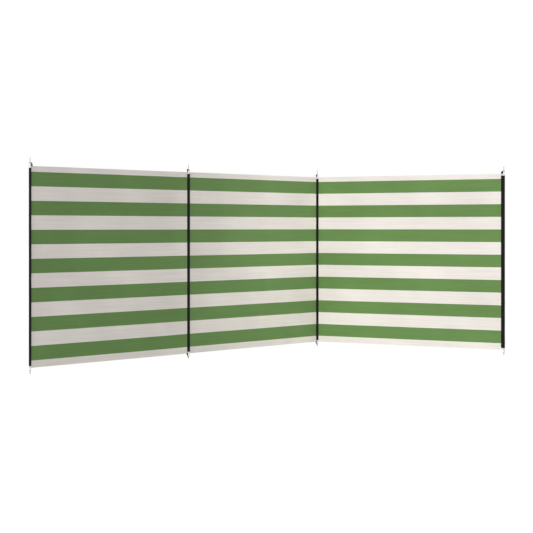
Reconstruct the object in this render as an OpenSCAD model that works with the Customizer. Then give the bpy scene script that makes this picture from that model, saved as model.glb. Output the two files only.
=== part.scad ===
// A beach windbreak: three bays of striped cloth between four steel poles.
// Origin: the flat tip of the foot pin of pole 2. +X runs along bays 1 and 2, +Z is up,
// and bay 3 turns from pole 3 towards -Y.

/* [Bays] */
// Width of one bay, from pole axis to pole axis
bay_w = 1800; // [600:10:2400]
// Angle by which the last bay turns at pole 3
corner_deg = 90; // [60:5:120]
// Height of one woven stripe
stripe_h = 101.5; // [60:0.5:120]
// Number of stripes between the borders, green at both ends
stripe_count = 13; // [5:2:15]
// Height of the cream border above the stripes
top_border_h = 40; // [30:1:70]
// Height of the cream border below the stripes
foot_border_h = 50.5; // [30:0.5:70]
// Thickness of the cloth
cloth_t = 1.2; // [0.8:0.1:2]
// Gap between the cloth of a turning bay and the sleeve that it turns on
hinge_gap = 0.3; // [0.2:0.05:0.6]

/* [Hems] */
// Height of the turned hem along the top and foot edges
hem_h = 25; // [15:1:28]
// Thickness of the hem behind the cloth
hem_t = 1.2; // [0.8:0.1:2]
// Distance from a pole's axis to the end of a hem and to the edge of a corner patch
hem_start = 26; // [26:1:60]
// Width and height of the sewn patch in each corner of a bay
patch_w = 38; // [20:1:50]
// Thickness of a corner patch
patch_t = 0.8; // [0.6:0.1:1.2]
// Distance from the cloth's edge to a corner patch
patch_inset = 1; // [0.5:0.5:5]

/* [Poles] */
// Outer diameter of the pole tube
tube_d = 15; // [12:0.5:22]
// Wall of the pole tube
tube_wall = 1; // [0.8:0.1:2]
// Length of tube that stands out beyond the cloth at each end
tube_out = 17.5; // [15:0.5:40]

/* [Pins] */
// Diameter of the free pin
pin_d = 5; // [4:0.5:6]
// Length of the free pin at the top
top_pin_l = 36; // [20:1:60]
// Length of the free pin at the foot
foot_pin_l = 19; // [12:1:60]
// Diameter of the neck that the eyelet sits on
neck_d = 6; // [6:0.5:7]
// Height of the neck above the eyelet
neck_out = 0.45; // [0.3:0.05:1]
// Bevel of the pin's tip
tip_bevel = 0.6; // [0.3:0.1:1]
// Height of the cap that closes the tube
cap_t = 4; // [2:0.5:6]
// Radius of the cap's shoulder
cap_round = 3; // [0.5:0.25:3]
// Depth of the plug inside the tube
plug_l = 18; // [10:1:40]
// Lead-in bevel at the plug's end
plug_bevel = 1.5; // [0.5:0.25:3]
// Gap between the plug and the tube's wall
plug_gap = 0.1; // [0.05:0.05:0.2]

/* [Sleeves] */
// Wall of the cloth sleeve round a pole
sleeve_wall = 1.1; // [0.8:0.1:2]
// Gap between a sleeve and its tube
sleeve_gap = 0.15; // [0.1:0.05:0.4]
// Distance by which a sleeve stops short of the cloth's edge
sleeve_inset = 13; // [8:1:20]
// Width of the flat seam beside the sleeves of the two end poles
seam_w = 16; // [8:1:16]
// Thickness of that seam
seam_t = 1.2; // [0.8:0.1:2]
// Distance from an inner pole's axis to the edge of the binding sewn round the cloth beside it
binding_end = 14; // [11:0.5:20]
// Thickness of the binding on each face of the cloth
binding_t = 0.4; // [0.3:0.05:0.5]

/* [Tabs] */
// Width of the webbing tabs on the end poles
end_tab_w = 25; // [16:1:30]
// Width of the webbing loops on the inner poles
loop_w = 14; // [11:0.5:18]
// Width of a tab's end where it is drawn together and sewn into the cloth's edge
tab_foot_w = 3; // [2:0.5:6]
// Height over the cloth's edge at which a tab has its full width
tab_flare_h = 12; // [8:0.5:14]
// Thickness of the webbing
web_t = 1.25; // [1:0.05:2]
// Gap between the foot of an end tab and the sleeve's line
tab_gap = 0.75; // [0.5:0.05:2]
// Distance by which a tab bows out beyond the tube
bow = 4.5; // [3.5:0.25:6]
// Inner radius of the bend over the tube's end
bend_r = 4; // [3:0.25:4.75]
// Gap under the loop that turns about its pole with the first bay
turn_gap = 0.25; // [0.2:0.05:0.3]

/* [Eyelets] */
// Outer diameter of an eyelet
eyelet_d = 10.5; // [10:0.5:10.5]
// Wall of an eyelet's barrel
eyelet_wall = 0.5; // [0.4:0.1:0.8]
// Thickness of an eyelet's rolled flange
eyelet_t = 0.8; // [0.6:0.1:1.2]
// Gap between an eyelet and the neck
eyelet_gap = 0.3; // [0.2:0.05:0.5]

/* [Hidden] */
$fn = 64;
green = [0.36, 0.50, 0.28];
cream = [0.90, 0.87, 0.84];
black = [0.10, 0.10, 0.10];
steel = [0.80, 0.81, 0.82];

tube_r = tube_d / 2;
sleeve_ri = tube_r + sleeve_gap;
sleeve_r = sleeve_ri + sleeve_wall;
neck_l = web_t + eyelet_t + neck_out;
barrel_r = neck_d / 2 + eyelet_gap + eyelet_wall;
crown_z = tube_out + cap_t;
bend_x = tube_r + bow - bend_r;
overlap_deg = 20;

foot_z = foot_pin_l + neck_l + crown_z;
cloth_h = foot_border_h + stripe_count * stripe_h + top_border_h;
top_z = foot_z + cloth_h;
tube_l = cloth_h + 2 * tube_out;

// Each pole's place, and the direction of the cloth that its seam and tabs belong to
pole_at = [
    [-bay_w, 0],
    [0, 0],
    [bay_w, 0],
    [bay_w + bay_w * cos(corner_deg), -bay_w * sin(corner_deg)]
];
pole_dir = [0, 0, 180, 180 - corner_deg];

// Each bay's direction from its first pole, and its gap at the first and last pole
bay_dir = [0, 0, -corner_deg];
bay_gaps = [[0, hinge_gap], [0, 0], [hinge_gap, 0]];

// Puts children at a pole, with +X towards its own cloth
module at_pole(i) {
    translate([pole_at[i - 1].x, pole_at[i - 1].y, 0])
        rotate(pole_dir[i - 1])
            children();
}

// Puts children at the cloth's top edge on a pole's axis, with +Z outwards
module at_top(i) {
    at_pole(i) translate([0, 0, top_z]) children();
}

// Puts children at the cloth's foot edge on a pole's axis, with +Z outwards and turned over
module at_foot(i) {
    at_pole(i) translate([0, 0, foot_z]) mirror([0, 0, 1]) children();
}

// Puts children at a bay's first pole, with +X along the bay
module at_bay(i) {
    translate([pole_at[i - 1].x, pole_at[i - 1].y, foot_z])
        rotate(bay_dir[i - 1])
            children();
}

module pole_tube(i) {
    color(steel)
        at_pole(i)
            translate([0, 0, foot_z - tube_out])
                difference() {
                    cylinder(h = tube_l, r = tube_r);
                    translate([0, 0, -1])
                        cylinder(h = tube_l + 2, r = tube_r - tube_wall);
                }
}

// A plug in the tube's end, a round-shouldered cap over its rim, a neck for the eyelet and the free pin
module pin_outline(l) {
    plug_r = tube_r - tube_wall - plug_gap;
    neck_z = cap_t + neck_l;
    polygon([
        [0, -plug_l],
        [plug_r - plug_bevel, -plug_l],
        [plug_r, -plug_l + plug_bevel],
        [plug_r, 0],
        [0, 0]
    ]);
    square([tube_r, cap_t - cap_round]);
    square([tube_r - cap_round, cap_t]);
    intersection() {
        translate([tube_r - cap_round, cap_t - cap_round])
            circle(r = cap_round);
        square([tube_r, cap_t]);
    }
    polygon([
        [0, cap_t],
        [neck_d / 2, cap_t],
        [neck_d / 2, neck_z],
        [pin_d / 2, neck_z],
        [pin_d / 2, neck_z + l - tip_bevel],
        [pin_d / 2 - tip_bevel, neck_z + l],
        [0, neck_z + l]
    ]);
}

module pin(l) {
    color(steel)
        translate([0, 0, tube_out])
            rotate_extrude()
                pin_outline(l);
}

// The black strip sewn round the cloth's edge beside an inner pole, one layer on each face
module binding(gap) {
    x0 = sleeve_r + gap;
    for (y = [-cloth_t / 2 - binding_t, cloth_t / 2])
        translate([x0, y, sleeve_inset])
            cube([binding_end - x0, binding_t, cloth_h - 2 * sleeve_inset]);
}

module cloth_pocket() {
    cylinder(h = cloth_h - 2 * sleeve_inset, r = sleeve_r);
}

module pocket_bore() {
    translate([0, 0, -1])
        cylinder(h = cloth_h - 2 * sleeve_inset + 2, r = sleeve_ri);
}

// The pocket round an end pole, with a flat seam on one face of the cloth
module end_sleeve(i) {
    color(black)
        at_pole(i)
            translate([0, 0, foot_z + sleeve_inset])
                difference() {
                    union() {
                        cloth_pocket();
                        translate([0, cloth_t / 2, 0])
                            cube([sleeve_r + seam_w, seam_t, cloth_h - 2 * sleeve_inset]);
                    }
                    pocket_bore();
                }
}

// The pocket round an inner pole, with the binding of the bay that it stays with
module inner_sleeve(i) {
    color(black)
        at_pole(i)
            translate([0, 0, foot_z]) {
                translate([0, 0, sleeve_inset])
                    difference() {
                        cloth_pocket();
                        pocket_bore();
                    }
                binding(0);
            }
}

// A strip of webbing seen along its width: it leaves the cloth's edge, bows outwards and bends over
// the tube's end, lift above the cap. The straight leg is tangent to the bend at the angle lean, and
// reaches into it a little.
module strap_outline(lift) {
    foot_x = sleeve_r + tab_gap;
    bend_z = crown_z + lift - bend_r;
    lean = atan2(-bend_z, foot_x - bend_x) + acos(bend_r / norm([bend_z, foot_x - bend_x]));
    way = [cos(lean), sin(lean)];
    overlap_way = [cos(lean + overlap_deg), sin(lean + overlap_deg)];
    bend_at = [bend_x, bend_z];
    outer_r = bend_r + web_t;
    reach = 2 * outer_r;
    polygon([
        [foot_x, 0],
        [foot_x + web_t / way.x, 0],
        bend_at + outer_r * way,
        bend_at + (bend_r + web_t / 2) * overlap_way,
        bend_at + bend_r * way
    ]);
    translate(bend_at)
        intersection() {
            difference() {
                circle(r = outer_r);
                circle(r = bend_r);
            }
            polygon([[0, 0], reach * way, [reach, reach], [0, reach]]);
        }
    translate([0, crown_z + lift])
        square([bend_x, web_t]);
}

// The strip's own outline seen along the cloth: narrow where it is sewn in, and full from the flare up
module strap_width(w) {
    polygon([
        [-tab_foot_w / 2, 0],
        [tab_foot_w / 2, 0],
        [w / 2, tab_flare_h],
        [w / 2, crown_z + 2 * web_t],
        [-w / 2, crown_z + 2 * web_t],
        [-w / 2, tab_flare_h]
    ]);
}

// A tab: up from the cloth's corner and over the tube's end, round about the pin
module tab(w, lift = 0) {
    color(black)
        difference() {
            union() {
                intersection() {
                    rotate([90, 0, 0])
                        linear_extrude(w, center = true)
                            strap_outline(lift);
                    rotate([90, 0, 90])
                        linear_extrude(bend_x + bend_r + 2 * web_t)
                            strap_width(w);
                }
                translate([0, 0, crown_z + lift])
                    cylinder(h = web_t, r = w / 2);
            }
            translate([0, 0, crown_z + lift - 1])
                cylinder(h = web_t + 2, r = barrel_r);
        }
}

// A metal ring with a barrel through the webbing and a flange with a rolled edge on its outer face
module eyelet(lift = 0) {
    bore_r = neck_d / 2 + eyelet_gap;
    roll_r = eyelet_t / 2;
    rim_x = eyelet_d / 2 - roll_r;
    color(steel)
        translate([0, 0, crown_z + lift])
            rotate_extrude() {
                translate([bore_r, 0])
                    square([eyelet_wall, web_t + eyelet_t]);
                translate([bore_r, web_t])
                    square([rim_x - bore_r, eyelet_t]);
                translate([rim_x, web_t + roll_r])
                    circle(r = roll_r);
            }
}

function band_z(k) = k == 0 ? 0 : foot_border_h + (k - 1) * stripe_h;
function band_h(k) = k == 0 ? foot_border_h : k > stripe_count ? top_border_h : stripe_h;

// Every second band of a bay's cloth, from band first upwards
module bands(i, first) {
    gaps = bay_gaps[i - 1];
    x0 = sleeve_r + gaps[0];
    w = bay_w - 2 * sleeve_r - gaps[0] - gaps[1];
    at_bay(i)
        for (k = [first : 2 : stripe_count + 1])
            translate([x0, -cloth_t / 2, band_z(k)])
                cube([w, cloth_t, band_h(k)]);
}

module green_bands(i) {
    color(green) bands(i, 1);
}

module cream_bands(i) {
    color(cream) bands(i, 0);
}

// The cloth's edge turned over to the back, seen along the bay, with its fold at the top
module hem_outline() {
    translate([cloth_t / 2, 0])
        square([hem_t, hem_h - hem_t]);
    translate([cloth_t / 2, hem_h - hem_t])
        intersection() {
            circle(r = hem_t);
            square(hem_t);
        }
}

module hem_strip() {
    color(cream)
        translate([hem_start, 0, 0])
            rotate([90, 0, 90])
                linear_extrude(bay_w - 2 * hem_start)
                    hem_outline();
}

module top_hem(i) {
    at_bay(i) translate([0, 0, cloth_h - hem_h]) hem_strip();
}

module foot_hem(i) {
    at_bay(i) translate([0, 0, hem_h]) mirror([0, 0, 1]) hem_strip();
}

// The four sewn patches on the front of a bay's corners
module patches(i) {
    color(cream)
        at_bay(i)
            for (x = [hem_start, bay_w - hem_start - patch_w])
                for (z = [patch_inset, cloth_h - patch_inset - patch_w])
                    translate([x, -cloth_t / 2 - patch_t, z])
                        cube([patch_w, patch_t, patch_w]);
}

// The binding of a turning bay's edge, round the inner pole that it turns on
module turning_binding(pole, dir) {
    color(black)
        translate([pole_at[pole - 1].x, pole_at[pole - 1].y, foot_z])
            rotate(dir)
                binding(hinge_gap);
}

pole_tube(1);  // pole_tube_1
pole_tube(2);  // pole_tube_2
pole_tube(3);  // pole_tube_3
pole_tube(4);  // pole_tube_4
at_top(1) pin(top_pin_l);  // top_pin_1
at_top(2) pin(top_pin_l);  // top_pin_2
at_top(3) pin(top_pin_l);  // top_pin_3
at_top(4) pin(top_pin_l);  // top_pin_4
at_foot(1) pin(foot_pin_l);  // foot_pin_1
at_foot(2) pin(foot_pin_l);  // foot_pin_2
at_foot(3) pin(foot_pin_l);  // foot_pin_3
at_foot(4) pin(foot_pin_l);  // foot_pin_4
end_sleeve(1);  // sleeve_1
inner_sleeve(2);  // sleeve_2
inner_sleeve(3);  // sleeve_3
end_sleeve(4);  // sleeve_4
at_top(1) tab(end_tab_w);  // top_tab_1
at_top(2) rotate(180) tab(loop_w, turn_gap);  // top_loop_2
at_top(3) tab(loop_w);  // top_loop_3
at_top(4) tab(end_tab_w);  // top_tab_4
at_foot(2) rotate(180) tab(loop_w, turn_gap);  // foot_loop_2
at_foot(3) tab(loop_w);  // foot_loop_3
at_top(1) eyelet();  // top_eyelet_1
at_top(2) eyelet(turn_gap);  // top_eyelet_2
at_top(3) eyelet();  // top_eyelet_3
at_top(4) eyelet();  // top_eyelet_4
at_foot(2) eyelet(turn_gap);  // foot_eyelet_2
at_foot(3) eyelet();  // foot_eyelet_3
green_bands(1);  // bay_1_green
green_bands(2);  // bay_2_green
green_bands(3);  // bay_3_green
cream_bands(1);  // bay_1_cream
cream_bands(2);  // bay_2_cream
cream_bands(3);  // bay_3_cream
top_hem(1);  // bay_1_top_hem
top_hem(2);  // bay_2_top_hem
top_hem(3);  // bay_3_top_hem
foot_hem(1);  // bay_1_foot_hem
foot_hem(2);  // bay_2_foot_hem
foot_hem(3);  // bay_3_foot_hem
patches(1);  // bay_1_patches
patches(2);  // bay_2_patches
patches(3);  // bay_3_patches
turning_binding(2, 180);  // bay_1_binding
turning_binding(3, -corner_deg);  // bay_3_binding
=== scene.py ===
# %% [markdown]
# A beach windbreak, three bays of striped cloth between four steel poles.
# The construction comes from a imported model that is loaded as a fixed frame. Here it gets its looks:
# woven cloth, sewn hems and patches, cloth sleeves, webbing tabs and plated steel.
# All lengths are in metres, +Z is up, and the straight run of two bays lies along X.

# %% Load the frame
import math

import bmesh
import bpy
from mathutils import Matrix, Vector, noise


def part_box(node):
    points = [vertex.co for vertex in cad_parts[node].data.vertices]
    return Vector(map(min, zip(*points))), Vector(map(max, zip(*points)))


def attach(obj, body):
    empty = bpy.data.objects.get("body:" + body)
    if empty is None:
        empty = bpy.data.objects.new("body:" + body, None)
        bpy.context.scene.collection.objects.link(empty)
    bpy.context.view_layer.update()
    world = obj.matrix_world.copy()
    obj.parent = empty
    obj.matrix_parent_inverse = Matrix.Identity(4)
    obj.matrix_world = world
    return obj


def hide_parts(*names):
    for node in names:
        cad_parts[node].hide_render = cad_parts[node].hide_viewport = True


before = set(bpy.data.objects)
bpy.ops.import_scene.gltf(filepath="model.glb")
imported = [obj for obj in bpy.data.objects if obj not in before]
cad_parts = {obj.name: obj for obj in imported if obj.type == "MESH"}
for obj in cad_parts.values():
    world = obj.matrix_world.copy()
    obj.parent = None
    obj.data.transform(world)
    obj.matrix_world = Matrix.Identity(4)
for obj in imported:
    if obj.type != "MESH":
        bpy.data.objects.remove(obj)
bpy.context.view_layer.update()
MM = 0.001
print("frame loaded:", len(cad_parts), "nodes")

# %% [markdown]
# Every size that the looks need is read off the frame, so that each piece sits on what carries it.
# A bay has its own local frame: X runs along the cloth from the bay's first pole, Y points to the
# back of the cloth and Z is up. A piece is modelled there and then put in place with one matrix.

# %% Places and sizes
POLES = (1, 2, 3, 4)
END_POLES = (1, 4)
BAYS = (1, 2, 3)
SPAN_OF_BAY = {1: "left_span", 2: "middle_span", 3: "corner_span"}
SPAN_OF_POLE = {1: "left_span", 2: "middle_span", 3: "middle_span", 4: "corner_span"}
STRIPES = 13
HINGE_GAP = 0.3 * MM


def centre(node):
    low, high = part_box(node)
    return (low + high) / 2


pole_at = {i: centre(f"pole_tube_{i}") for i in POLES}
tube_low, tube_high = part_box("pole_tube_2")
tube_r = (tube_high.x - tube_low.x) / 2
sleeve_low, sleeve_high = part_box("sleeve_2")
sleeve_r = (sleeve_high.y - sleeve_low.y) / 2
cloth_low, cloth_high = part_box("bay_2_cream")
green_low, green_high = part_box("bay_2_green")
cloth_foot, cloth_top = cloth_low.z, cloth_high.z
cloth_h = cloth_top - cloth_foot
foot_border = green_low.z - cloth_foot
stripe_h = (green_high.z - green_low.z) / STRIPES
bay_w = (pole_at[2] - pole_at[1]).length
# The height of each edge of the cloth, and the sign of the way out over it
EDGE = {"top": (cloth_top, 1), "foot": (cloth_foot, -1)}


# %% Local frames
def along(i):
    """The direction of bay i from its first pole."""
    way = pole_at[i + 1] - pole_at[i]
    return Vector((way.x, way.y, 0)).normalized()


def upright(at, way):
    """The matrix of a frame that stands at a pole, with its X along a level direction."""
    return Matrix(((way.x, -way.y, 0, at.x), (way.y, way.x, 0, at.y), (0, 0, 1, 0), (0, 0, 0, 1)))


def bay_matrix(i):
    """Takes a point of bay i's local frame to its place."""
    return upright(pole_at[i], along(i))


# The direction from each pole to the cloth that its seam and tab belong to
INNER = {1: along(1), 2: along(2), 3: -along(2), 4: -along(3)}


def pole_matrix(i):
    """Takes a point of pole i's local frame, +X towards its own cloth, to its place."""
    return upright(pole_at[i], INNER[i])


print("bays run along", [tuple(round(c) for c in along(i)) for i in BAYS])

# %% [markdown]
# The camera comes first, because it decides what detail shows. The photograph keeps all four poles
# upright, so the camera looks level and its picture is shifted instead of tilted. The place was worked
# out from the poles' heights and spacing in the picture, measured from the corner pole.

# %% Camera
PHOTO_PX = 533
FOCAL_PX = 1820
HORIZON_PX = 227.07
SENSOR_MM = 36
CAMERA_REACH = 200
camera_back = Vector((-12.996, -8.702, 0))
camera_height = 0.983
look = Vector((0.8151, 0.5793, 0))

bpy.ops.object.camera_add()
camera = bpy.context.object
camera.name = "camera"
camera.data.sensor_width = SENSOR_MM
camera.data.lens = FOCAL_PX * SENSOR_MM / PHOTO_PX
camera.data.shift_y = (HORIZON_PX - PHOTO_PX / 2) / PHOTO_PX
camera.data.clip_end = CAMERA_REACH
corner_foot = Vector((pole_at[3].x, pole_at[3].y, cloth_foot))
camera.location = corner_foot + camera_back + Vector((0, 0, camera_height))
camera.rotation_euler = look.to_track_quat("-Z", "Y").to_euler()
bpy.context.scene.camera = camera
print("camera at", [round(c, 3) for c in camera.location])

# %% [markdown]
# Small helpers. Operators act on what is selected, so each step first clears the selection and then
# picks its own faces or edges by their place.

# %% Helpers
SAME_POINT = 0.001 * MM


def only(obj):
    """Makes obj the one selected and active object."""
    if bpy.context.object and bpy.context.object.mode != "OBJECT":
        bpy.ops.object.mode_set(mode="OBJECT")
    bpy.ops.object.select_all(action="DESELECT")
    obj.select_set(True)
    bpy.context.view_layer.objects.active = obj


def new_piece(name):
    """Names the object that an operator has just added, and its mesh."""
    obj = bpy.context.object
    obj.name = obj.data.name = name
    return obj


def place(obj, matrix):
    """Moves a piece from a local frame to its place, with the place kept in its mesh."""
    bpy.context.view_layer.update()
    obj.matrix_world = matrix @ obj.matrix_world
    only(obj)
    bpy.ops.object.transform_apply(location=True, rotation=True, scale=True)
    return obj


def modify(obj, kind, **settings):
    """Adds a modifier with its settings and applies it."""
    modifier = obj.modifiers.new(kind, kind)
    for key, value in settings.items():
        setattr(modifier, key, value)
    only(obj)
    bpy.ops.object.modifier_apply(modifier=modifier.name)


def recalculate(obj):
    """Merges doubles and turns every face outwards."""
    only(obj)
    bpy.ops.object.mode_set(mode="EDIT")
    bpy.ops.mesh.select_all(action="SELECT")
    bpy.ops.mesh.remove_doubles(threshold=SAME_POINT)
    bpy.ops.mesh.normals_make_consistent(inside=False)
    bpy.ops.object.mode_set(mode="OBJECT")


def thicken(obj, thickness):
    """Gives a sheet its thickness, half to each side."""
    modify(obj, "SOLIDIFY", thickness=thickness, offset=0, use_even_offset=True)


def smooth(obj, degrees):
    only(obj)
    bpy.ops.object.shade_smooth_by_angle(angle=math.radians(degrees))


def paint(obj, material):
    obj.data.materials.clear()
    obj.data.materials.append(material)


def dress(obj, material, body):
    """Gives a piece its material and the body that it rides on."""
    paint(obj, material)
    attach(obj, body)
    return obj


print("helpers ready")

# %% [markdown]
# A material is a tree of shader nodes. These helpers add one node each, and give every input a value or
# the output of an earlier node, so that a finish reads as a short list of steps.


# %% Shader nodes
def feed(tree, socket, value):
    """Gives an input a value, or a link where the value is a node's output."""
    if isinstance(value, bpy.types.NodeSocket):
        tree.links.new(value, socket)
    else:
        socket.default_value = value


def add_node(tree, kind, inputs=(), **settings):
    """Adds a shader node with its settings and its (input, value) pairs."""
    node = tree.nodes.new("ShaderNode" + kind)
    for key, value in settings.items():
        setattr(node, key, value)
    for key, value in dict(inputs).items():
        feed(tree, node.inputs[key], value)
    return node


def calculate(tree, operation, *values):
    return add_node(tree, "Math", enumerate(values), operation=operation).outputs["Value"]


def map_range(tree, value, to, of=(0, 1)):
    """Takes a value from one range to another, and no further."""
    ends = {"From Min": of[0], "From Max": of[1], "To Min": to[0], "To Max": to[1]}
    return add_node(tree, "MapRange", {"Value": value, **ends}).outputs["Result"]


def cloudy(tree, at, scale, detail, dimensions="3D"):
    """Noise at a place, scale patches to a metre."""
    inputs = {"Vector": at, "Scale": scale, "Detail": detail}
    return add_node(tree, "TexNoise", inputs, noise_dimensions=dimensions).outputs["Fac"]


def stretched(tree, at, scale):
    return add_node(tree, "Mapping", {"Vector": at, "Scale": scale}).outputs["Vector"]


def two_tones(tree, value, colour, *stops):
    """A colour that is darker or lighter at each of two stops, given as (value, brightness)."""
    ramp = add_node(tree, "ValToRGB", {"Fac": value})
    for element, (position, brightness) in zip(ramp.color_ramp.elements, stops):
        element.position = position
        element.color = (*[brightness * c for c in colour], 1)
    return ramp.outputs["Color"]


def brighten(tree, colour, value):
    return add_node(tree, "HueSaturation", {"Color": colour, "Value": value}).outputs["Color"]


def bump(tree, shader, height, strength, distance):
    """Lets a height stand out of a shader's surface."""
    inputs = {"Height": height, "Strength": strength, "Distance": distance}
    feed(tree, shader.inputs["Normal"], add_node(tree, "Bump", inputs).outputs["Normal"])


def new_material(name, **finish):
    """A material with the given finish, its node tree and its main shader."""
    material = bpy.data.materials.new(name)
    material.use_nodes = True
    shader = material.node_tree.nodes["Principled BSDF"]
    for key, value in finish.items():
        shader.inputs[key.replace("_", " ")].default_value = value
    return material, material.node_tree, shader


print("shader helpers ready")

# %% [markdown]
# The cloth is a plain weave of thick yarn. Its colour changes from stripe to stripe along V, and its
# UV map is in metres, so threads have their real size. Real yarn varies along its length, which gives
# long faint streaks, and the light catches each thread as a small bump. Wide soft patches of painted
# light and shade are laid over the colour too.

# %% Cloth materials
GREEN = (0.136, 0.256, 0.075, 1)
CREAM = (0.85, 0.795, 0.75, 1)
STREAKS = (1.6, 115, 1)
PAINTED_PATCH_SCALE = 2.2
STREAK_BUMP = 1.6
# How far the yarn's streaks and the painted patches of light and shade darken and lighten the dye
YARN_AND_LIGHT_RANGE = (0.915, 1.08)
CLOTH_PITCH = (1.1 * MM, 0.9 * MM)


def own_map(tree):
    """The piece's own map in metres, whole and split into X and Y."""
    uv = add_node(tree, "UVMap", uv_map="weave").outputs["UV"]
    return uv, add_node(tree, "SeparateXYZ", {"Vector": uv}).outputs


def threads(tree, split, pitches):
    """The height of a weave: one wave along each way of the threads, added up."""
    waves = [
        calculate(tree, "SINE", calculate(tree, "MULTIPLY", split[axis], 2 * math.pi / pitch))
        for axis, pitch in zip("XY", pitches)
    ]
    return calculate(tree, "ADD", *waves)


def in_green_stripe(tree, height):
    """1 in every second stripe, counted from the foot border's edge, and 0 elsewhere."""
    count = calculate(tree, "DIVIDE", calculate(tree, "SUBTRACT", height, foot_border), stripe_h)
    odd = calculate(tree, "LESS_THAN", calculate(tree, "FLOORED_MODULO", count, 2), 1)
    low = calculate(tree, "GREATER_THAN", count, 0)
    high = calculate(tree, "LESS_THAN", count, STRIPES)
    return calculate(tree, "MULTIPLY", odd, calculate(tree, "MULTIPLY", low, high))


def cloth_material(name, striped):
    material, tree, shader = new_material(
        name, Roughness=0.8, Specular_IOR_Level=0.3, Sheen_Weight=0.04, Sheen_Roughness=0.5
    )
    uv, split = own_map(tree)
    # Streaks are noise that is drawn out along the threads from pole to pole
    streak = cloudy(tree, stretched(tree, uv, STREAKS), 1, 3, "2D")
    # Wide soft patches of painted light and shade, laid into the colour
    painted_light_patches = cloudy(tree, uv, PAINTED_PATCH_SCALE, 2, "2D")
    share = in_green_stripe(tree, split["Y"]) if striped else 0
    # Sockets 0, 6 and 7 of a colour mix are its factor and its two colours, and 2 is its result
    dye = add_node(tree, "Mix", {0: share, 6: CREAM, 7: GREEN}, data_type="RGBA").outputs[2]
    # The colour is darkened and lightened by the real yarn streaks and by the painted light and shade
    uneven = map_range(tree, calculate(tree, "ADD", streak, painted_light_patches), YARN_AND_LIGHT_RANGE, of=(0.6, 1.4))
    feed(tree, shader.inputs["Base Color"], brighten(tree, dye, uneven))
    weave = threads(tree, split, CLOTH_PITCH)
    yarn = calculate(tree, "MULTIPLY_ADD", streak, STREAK_BUMP, weave)
    bump(tree, shader, yarn, strength=0.35, distance=0.15 * MM)
    return material


striped_cloth = cloth_material("striped_cloth", striped=True)
plain_cloth = cloth_material("plain_cloth", striped=False)
print("cloth materials made")

# %% [markdown]
# The sleeves are a fine black cloth and the straps are ribbed webbing. Both read the piece's own map,
# in metres, so the ribs of a strap follow it round its bend. Black cloth is never quite black: dust and
# wear lift it a little in patches.

# %% Black cloth
WORN_PATCHES = 45
WORN_STOPS = ((0.35, 0.8), (0.75, 1.5))
# How far the hollows of the weave are painted darker and its crests lighter: painted shade and highlight
RIB_PAINTED_SHADE = (0.75, 1.2)


def dark_cloth(name, colour, pitches, height):
    material, tree, shader = new_material(name, Roughness=0.75, Specular_IOR_Level=0.12)
    uv, split = own_map(tree)
    ribs = threads(tree, split, pitches)
    dye = two_tones(tree, cloudy(tree, uv, WORN_PATCHES, 4, "2D"), colour, *WORN_STOPS)
    # Painted shade in the hollows of the weave and painted highlight on its crests
    painted_rib_shade = map_range(tree, ribs, RIB_PAINTED_SHADE, of=(-2, 2))
    feed(tree, shader.inputs["Base Color"], brighten(tree, dye, painted_rib_shade))
    bump(tree, shader, ribs, strength=0.6, distance=height)
    return material


sleeve_cloth = dark_cloth(
    "sleeve_cloth", (0.0085, 0.0085, 0.0090), pitches=(0.9 * MM, 0.7 * MM), height=0.07 * MM
)
webbing = dark_cloth(
    "webbing", (0.0070, 0.0070, 0.0075), pitches=(1.5 * MM, 1.1 * MM), height=0.22 * MM
)
print("black cloth made")

# %% [markdown]
# The tubes are bright plated steel, drawn through a die, so their fine lines run along them. The pins
# and caps are turned, so theirs run round, and the foot pins are a darker steel than the top pins. Spots
# where the plating has gone matt break up the shine.

# %% Steel
MATT_SPOTS = 220
SPOT_STOPS = ((0.25, 0.86), (0.7, 1))
LINE_SHINE = (0.7, 1.4)


def steel(name, colour, roughness, pitch):
    """Plated steel, with fine rings or lines left by drawing and turning."""
    material, tree, shader = new_material(name, Metallic=1)
    at = add_node(tree, "TexCoord").outputs["Object"]
    lines = cloudy(tree, stretched(tree, at, (1, 1, 1 / pitch)), 1, 3)
    shine = map_range(tree, lines, [share * roughness for share in LINE_SHINE])
    feed(tree, shader.inputs["Roughness"], shine)
    plating = two_tones(tree, cloudy(tree, at, MATT_SPOTS, 2), colour, *SPOT_STOPS)
    feed(tree, shader.inputs["Base Color"], plating)
    return material


tube_steel = steel("tube_steel", (0.60, 0.61, 0.62), 0.20, 4 * MM)
pin_steel = steel("pin_steel", (0.36, 0.37, 0.38), 0.28, 0.6 * MM)
# The foot pins get a darker, rougher steel than the top pins
dark_foot_pin_steel = steel("dark_foot_pin_steel", (0.20, 0.20, 0.20), 0.34, 0.5 * MM)
ferrule_steel = steel("ferrule_steel", (0.62, 0.63, 0.64), 0.18, 1.2 * MM)
eyelet_nickel = steel("eyelet_nickel", (0.50, 0.48, 0.45), 0.22, 1.5 * MM)
STEEL_OF = {
    "pole_tube": tube_steel,
    "top_pin": pin_steel,
    "foot_pin": dark_foot_pin_steel,
    "top_eyelet": eyelet_nickel,
    "foot_eyelet": eyelet_nickel,
}
for name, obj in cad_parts.items():
    kind = name.rstrip("_1234")
    if kind in STEEL_OF:
        paint(obj, STEEL_OF[kind])
print("steel made")

# %% [markdown]
# Cloth that is pulled from pole to pole is never quite flat. It bellies a little in the middle, long
# shallow folds run the way that it is pulled, short ones fan out of the four corners, and the seams
# gather it into small puckers beside the sleeves. All of that is one height for each point of a bay, so
# the hems, patches and stitches can ask for the same height and stay on the cloth wherever it goes.

# %% Belly and folds
# The most that each kind of unevenness moves the cloth
BELLY = 11 * MM
FOLD = 2.6 * MM
CORNER_FOLD = 2.2 * MM
PUCKER = 0.35 * MM
# How often each comes: the belly in a bay's width and height, the folds and puckers in a metre
BELLY_WAVES = (1.1, 0.9)
FOLD_WAVES = (2.2, 7.5)
PUCKER_WAVES = 55
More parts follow.
